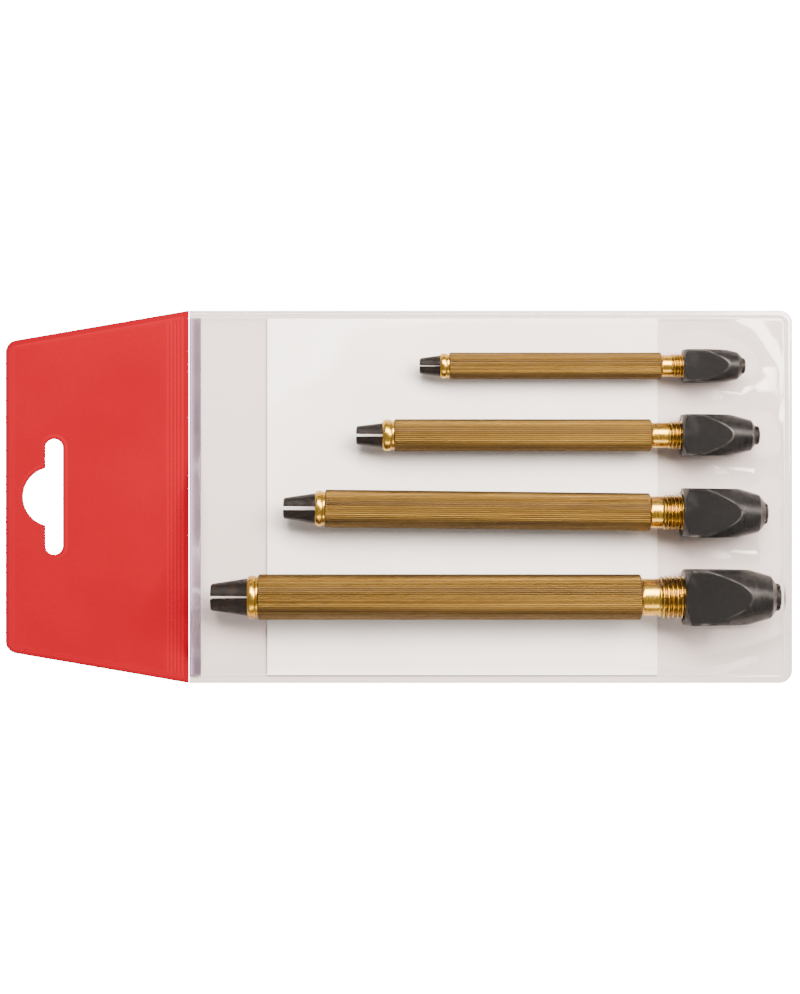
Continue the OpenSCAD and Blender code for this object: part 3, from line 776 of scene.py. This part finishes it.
def flapOutline():
    freeX = foldX - flap["length"]
    r = flap["cornerRadius"]
    lean = math.atan((wallet["halfWidth"] - flap["tipHalfWidth"]) / flap["length"])
    x = freeX + r
    y = flap["tipHalfWidth"] + r * (math.tan(lean) - 1 / math.cos(lean))
    right = foldX - flap["foldGap"]
    upper = arcPoints(x, y, r, math.pi, math.pi / 2 + lean)
    corners = [(right, wallet["halfWidth"]), (right, -wallet["halfWidth"])]
    lower = arcPoints(x, -y, r, -math.pi / 2 - lean, -math.pi)
    return upper + corners + lower


# The hanger hole: a slot with a round bulge towards the free edge
def slotOutline():
    x = foldX - flap["length"] + flap["slotInset"]
    w, half = flap["slotHalfWidth"], flap["slotHalfLength"] - flap["slotHalfWidth"]
    r, cx = flap["bulgeRadius"], x - flap["bulgeOffset"]
    meet = math.sqrt(r**2 - (w - flap["bulgeOffset"]) ** 2)
    a = math.atan2(meet, -(w - flap["bulgeOffset"]))
    upper, lower = arcPoints(x, half, w, 0, math.pi), arcPoints(x, -half, w, math.pi, fullTurn)
    return upper + arcPoints(cx, 0, r, a, fullTurn - a) + lower


# The same loop with a point at every step
def dense(points, step):
    out = []
    for a, b in zip(points, points[1:] + points[:1]):
        count = max(1, int(math.dist(a, b) / step))
        out += [(a[0] + (b[0] - a[0]) * k / count, a[1] + (b[1] - a[1]) * k / count) for k in range(count)]
    return np.array(out)


def loopDistance(points, loop):
    best = np.full(len(points), 1e9)
    for a, b in zip(loop, np.roll(loop, -1, axis=0)):
        edge = b - a
        t = np.clip(((points - a) @ edge) / max(edge @ edge, 1e-12), 0, 1)
        best = np.minimum(best, np.hypot(*(points - a - t[:, None] * edge).T))
    return best


def insideLoop(points, loop):
    x, y = points[:, 0], points[:, 1]
    within = np.zeros(len(points), bool)
    for (ax, ay), (bx, by) in zip(loop, np.roll(loop, -1, axis=0)):
        crosses = (ay > y) != (by > y)
        if ay != by:
            within ^= crosses & (x < (bx - ax) * (y - ay) / (by - ay) + ax)
    return within


def offsetPoints(loop, distance, inward):
    ahead = np.roll(loop, -1, axis=0) - np.roll(loop, 1, axis=0)
    ahead /= np.linalg.norm(ahead, axis=1)[:, None]
    return loop + inward * distance * np.stack([ahead[:, 1], -ahead[:, 0]], axis=1)


# Both sheets of the flap, welded at the rim, around the hole and along the lines beside the fold
def flapSheet():
    outer = dense(flapOutline(), 0.8)
    hole = dense(slotOutline(), 0.5)
    clouds = []
    for distance in (0.12, 0.3, 0.6, 0.95, 1.1, 1.25, 1.4, 1.55, 1.7, 1.9):
        for sign in (1, -1):
            clouds.append(offsetPoints(outer, distance, sign))
    for distance in (0.1, 0.25, 0.6, 0.95, 1.1, 1.3, 1.5):
        for sign in (1, -1):
            clouds.append(offsetPoints(hole, distance, sign))
    lineX = foldX - flap["firstLine"] - flap["linePitch"] * np.arange(flap["lines"])
    beside = np.array([-0.32, -0.18, -0.08, 0.08, 0.18, 0.32])
    plain = np.arange(foldX - flap["length"], lineX[-1] - 0.8, 1.0)
    columns = np.concatenate([plain] + [x + beside for x in lineX])
    rows = np.arange(-51, 51.1, 1.0)
    gridX, gridY = np.meshgrid(columns, rows)
    grid = np.stack([gridX.ravel(), gridY.ravel()], axis=1)
    cloud = np.concatenate(clouds)
    cloud = cloud[insideLoop(cloud, outer) & ~insideLoop(cloud, hole)]
    cloud = cloud[np.minimum(loopDistance(cloud, outer), loopDistance(cloud, hole)) > 0.09]
    grid = grid[insideLoop(grid, outer) & ~insideLoop(grid, hole)]
    grid = grid[(loopDistance(grid, outer) > 2.1) & (loopDistance(grid, hole) > 1.7)]
    points = np.concatenate([outer, hole, cloud, grid])
    rings = [(k, (k + 1) % len(outer)) for k in range(len(outer))]
    rings += [(len(outer) + k, len(outer) + (k + 1) % len(hole)) for k in range(len(hole))]
    found = geometry.delaunay_2d_cdt([Vector(p) for p in points], rings, [], 0, 1e-5)
    flat = np.array([tuple(p) for p in found[0]])
    faces = np.array([f for f in found[2] if len(f) == 3])
    centres = flat[faces].mean(axis=1)
    faces = faces[insideLoop(centres, outer) & ~insideLoop(centres, hole)]
    used = np.unique(faces)
    index = np.zeros(len(flat), int)
    index[used] = np.arange(len(used))
    faces = index[faces]
    flat = flat[used]
    toRim, toHole = loopDistance(flat, outer), loopDistance(flat, hole)
    x, y = flat[:, 0], flat[:, 1]
    nearest = np.min(np.abs(x[:, None] - lineX), axis=1)
    pressed = line(nearest, 0, flap["lineWidth"]) * np.clip((toRim - 1.6) / 0.6, 0, 1)
    wave = flap["waveHeight"] * ripples(x * 1.4, y * 1.4)
    z = flap["top"] + wave * np.clip(toRim / 4, 0, 1)
    z = z - flap["lineDepth"] * pressed
    z = z - flap["rimDepth"] * line(toRim, flap["rim"] + 0.2, 0.22)
    z = z - flap["rimDrop"] * np.clip(1 - toRim / 0.3, 0, 1) ** 2
    z = z + flap["lipHeight"] / (1 + np.exp((toHole - flap["lip"]) / 0.07))
    z = z - flap["holeDrop"] * np.clip(1 - toHole / 0.25, 0, 1) ** 2
    rim = np.clip(1 - toRim / flap["rim"], 0, 1) ** 0.5
    press = np.maximum(pressed, 0.5 * line(toRim, 1.7, 0.25))
    press = np.maximum(press, 0.8 * line(toHole, flap["lip"], 0.16))
    points3 = np.stack([x, y, z], axis=1)
    normals = np.cross(flat[faces[:, 1]] - flat[faces[:, 0]], flat[faces[:, 2]] - flat[faces[:, 0]])
    faces = np.where((normals < 0)[:, None], faces[:, ::-1], faces)
    piece = makePiece(
        "flapSheets", points3, faces, vinyl, "flap", "red_vinyl", ["flap_back_sheet", "flap_front_sheet"],
        {"rim": rim, "press": press},
    )
    thicken(piece, flap["thickness"])


flapSheet()
print("flap made")


floorSize, floorDrop = 1.5, 0.00002  # metres
floorMesh = bpy.data.meshes.new("floor")
grid = bmesh.new()
bmesh.ops.create_grid(grid, x_segments=8, y_segments=8, size=floorSize)
grid.to_mesh(floorMesh)
grid.free()
floorMesh.materials.append(floorMaterial())
floor = bpy.data.objects.new("floor", floorMesh)
floor.location.z = -floorDrop
bpy.context.scene.collection.objects.link(floor)


# Places, targets and sizes in metres, power in watts
def areaLight(name, place, target, sizes, power, color=(1, 0.93, 0.87)):
    data = bpy.data.lights.new(name, "AREA")
    data.shape = "RECTANGLE"
    data.size, data.size_y = sizes
    data.energy = power
    data.color = color
    lamp = bpy.data.objects.new(name, data)
    lamp.location = place
    lamp.rotation_mode = "QUATERNION"
    lamp.rotation_quaternion = (Vector(target) - Vector(place)).to_track_quat("-Z", "Y")
    bpy.context.scene.collection.objects.link(lamp)


lights = {
    "keyLight": dict(place=(0.20, 0.35, 0.62), target=(0.03, 0, 0), sizes=(0.9, 0.36), power=43),
    "fillLight": dict(place=(0.05, -0.80, 0.52), target=(0, 0, 0), sizes=(0.9, 0.3), power=7),
    "endLight": dict(place=(0.85, 0.1, 0.42), target=(0.05, 0, 0), sizes=(0.12, 0.5), power=6),
}
for name, light in lights.items():
    areaLight(name, **light)

studio = dict(ambient=0.6, backdrop=20.0, color=(1, 0.98, 0.965, 1))
world = bpy.data.worlds.new("studio")
world.use_nodes = True
background = world.node_tree.nodes["Background"]
rays = add(world.node_tree, "ShaderNodeLightPath")
levels = {0: rays.outputs["Is Camera Ray"], 3: studio["ambient"], 4: studio["backdrop"]}
strength = add(world.node_tree, "ShaderNodeMapRange", levels)
world.node_tree.links.new(strength.outputs[0], background.inputs["Strength"])
background.inputs["Color"].default_value = studio["color"]
bpy.context.scene.world = world

cameraData = bpy.data.cameras.new("camera")
cameraData.type = "PERSP"
cameraData.lens = camera["lens"]
cameraData.sensor_width = camera["sensor"]
cameraObject = bpy.data.objects.new("camera", cameraData)
cameraObject.location = (camera["centre"][0] * mm, camera["centre"][1] * mm, camera["distance"] * mm)
bpy.context.scene.collection.objects.link(cameraObject)
bpy.context.scene.camera = cameraObject
print("stage made")
